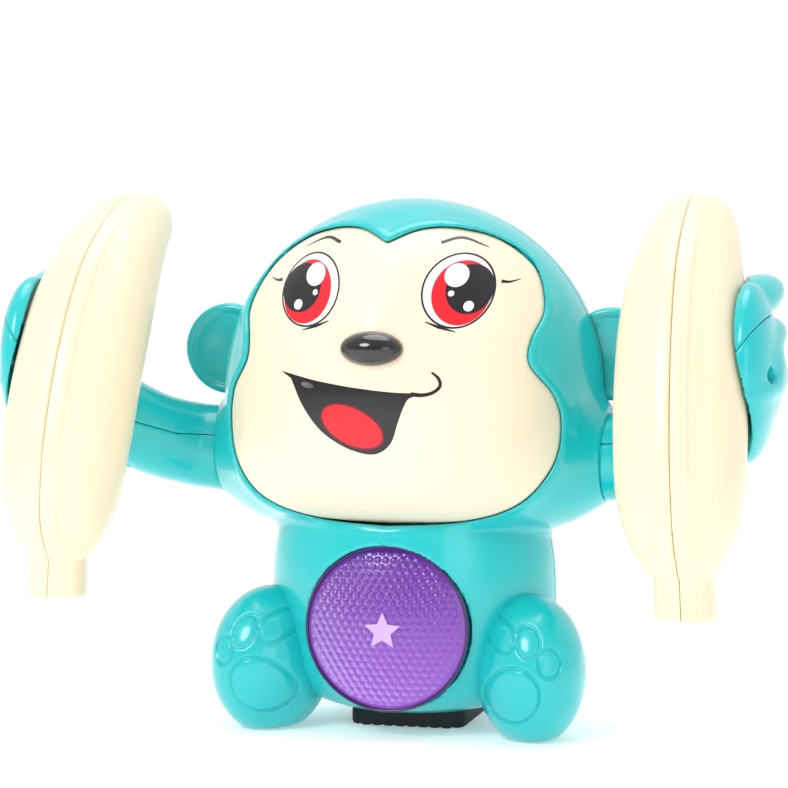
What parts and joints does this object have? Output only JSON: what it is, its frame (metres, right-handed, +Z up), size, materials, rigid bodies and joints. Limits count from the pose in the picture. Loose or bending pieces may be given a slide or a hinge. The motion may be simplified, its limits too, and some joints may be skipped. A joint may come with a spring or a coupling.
{
  "type": "tumbling monkey toy",
  "caption": "Battery-driven plastic monkey with a lit belly lens; a geared shaft through its shoulders turns both arms and their bananas so that it rolls over.",
  "frame": {"origin": "on the ground, under the arm shaft and midway between the hands", "axes": "+X across the shoulders towards the toy's own left hand, -Y is where the face looks, +Z up"},
  "size_m": [0.2222, 0.123, 0.1524],
  "materials": {
    "body_plastic": "moulded, glossy turquoise",
    "face_plastic": "moulded, satin cream",
    "banana_plastic": "moulded, satin ivory",
    "black_plastic": "glossy black",
    "pad_rubber": "matte black",
    "lens_plastic": "translucent purple, textured inside",
    "ring_plastic": "dark navy",
    "white_plastic": "moulded white",
    "gear_plastic": "natural acetal",
    "board": "green laminate",
    "led_plastic": "water-clear epoxy",
    "cell_wrap": "printed sleeve without text",
    "steel": "zinc plated",
    "brass": "turned"
  },
  "bodies": {
    "casing": {"front_shell": "body_plastic", "back_shell": "body_plastic", "face_plate": "face_plastic", "nose": "black_plastic", "base_pad": "pad_rubber", "belly_lens": "lens_plastic", "lens_ring": "ring_plastic", "light_reflector": "white_plastic", "led_board": "board", "leds": "led_plastic", "main_board": "board", "board_parts": "black_plastic", "battery_box": "body_plastic", "battery_cells": "cell_wrap", "battery_contacts": "steel", "battery_springs": "steel", "power_switch_body": "black_plastic", "speaker_basket": "steel", "speaker_magnet": "steel", "speaker_cone": "black_plastic", "gear_spindles": "steel", "gearbox_left": "white_plastic", "gearbox_right": "white_plastic", "gearbox_screws": "steel", "gearbox_mount_screws": "steel", "motor_can": "steel", "motor_end_cap": "white_plastic", "motor_magnets": "steel", "case_screws": "steel", "ear_left": "body_plastic", "shaft_bush_left": "gear_plastic", "ear_right": "body_plastic", "shaft_bush_right": "gear_plastic"},
    "arms": {"arm_shaft": "steel", "output_gear": "gear_plastic", "arm_upper_shell_left": "body_plastic", "arm_lower_shell_left": "body_plastic", "arm_hub_left": "white_plastic", "hub_screw_left": "steel", "arm_screws_left": "steel", "banana_inner_half_left": "banana_plastic", "banana_outer_half_left": "banana_plastic", "banana_screw_left": "steel", "arm_upper_shell_right": "body_plastic", "arm_lower_shell_right": "body_plastic", "arm_hub_right": "white_plastic", "hub_screw_right": "steel", "arm_screws_right": "steel", "banana_inner_half_right": "banana_plastic", "banana_outer_half_right": "banana_plastic", "banana_screw_right": "steel"},
    "second_gear": {"second_gear": "gear_plastic"},
    "first_gear": {"first_gear": "gear_plastic"},
    "motor_rotor": {"motor_rotor": "steel", "motor_pinion": "brass"},
    "battery_door": {"battery_door": "body_plastic", "door_screw": "steel"},
    "power_knob": {"power_switch_knob": "black_plastic"}
  },
  "joints": [
    {"name": "arms_turn", "type": "hinge", "parent": "casing", "child": "arms", "pos_m": [0, 0, 0.078], "axis": [1, 0, 0], "continuous": true},
    {"name": "second_gear_spin", "type": "hinge", "parent": "casing", "child": "second_gear", "pos_m": [0, 0, 0.093], "axis": [1, 0, 0], "continuous": true},
    {"name": "first_gear_spin", "type": "hinge", "parent": "casing", "child": "first_gear", "pos_m": [0, -0.0138, 0.093], "axis": [1, 0, 0], "continuous": true},
    {"name": "motor_spin", "type": "hinge", "parent": "casing", "child": "motor_rotor", "pos_m": [0, -0.0138, 0.1055], "axis": [1, 0, 0], "continuous": true},
    {"name": "battery_door_lift", "type": "slide", "parent": "casing", "child": "battery_door", "axis": [0, 1, 0], "range_m": [0, 0.04]},
    {"name": "power_knob_slide", "type": "slide", "parent": "casing", "child": "power_knob", "axis": [1, 0, 0], "range_m": [-0.0025, 0.0025]}
  ],
  "couplings": [
    {"joint": "second_gear_spin", "follows": "arms_turn", "ratio": -3},
    {"joint": "first_gear_spin", "follows": "arms_turn", "ratio": 10.8},
    {"joint": "motor_spin", "follows": "arms_turn", "ratio": -43.2}
  ]
}
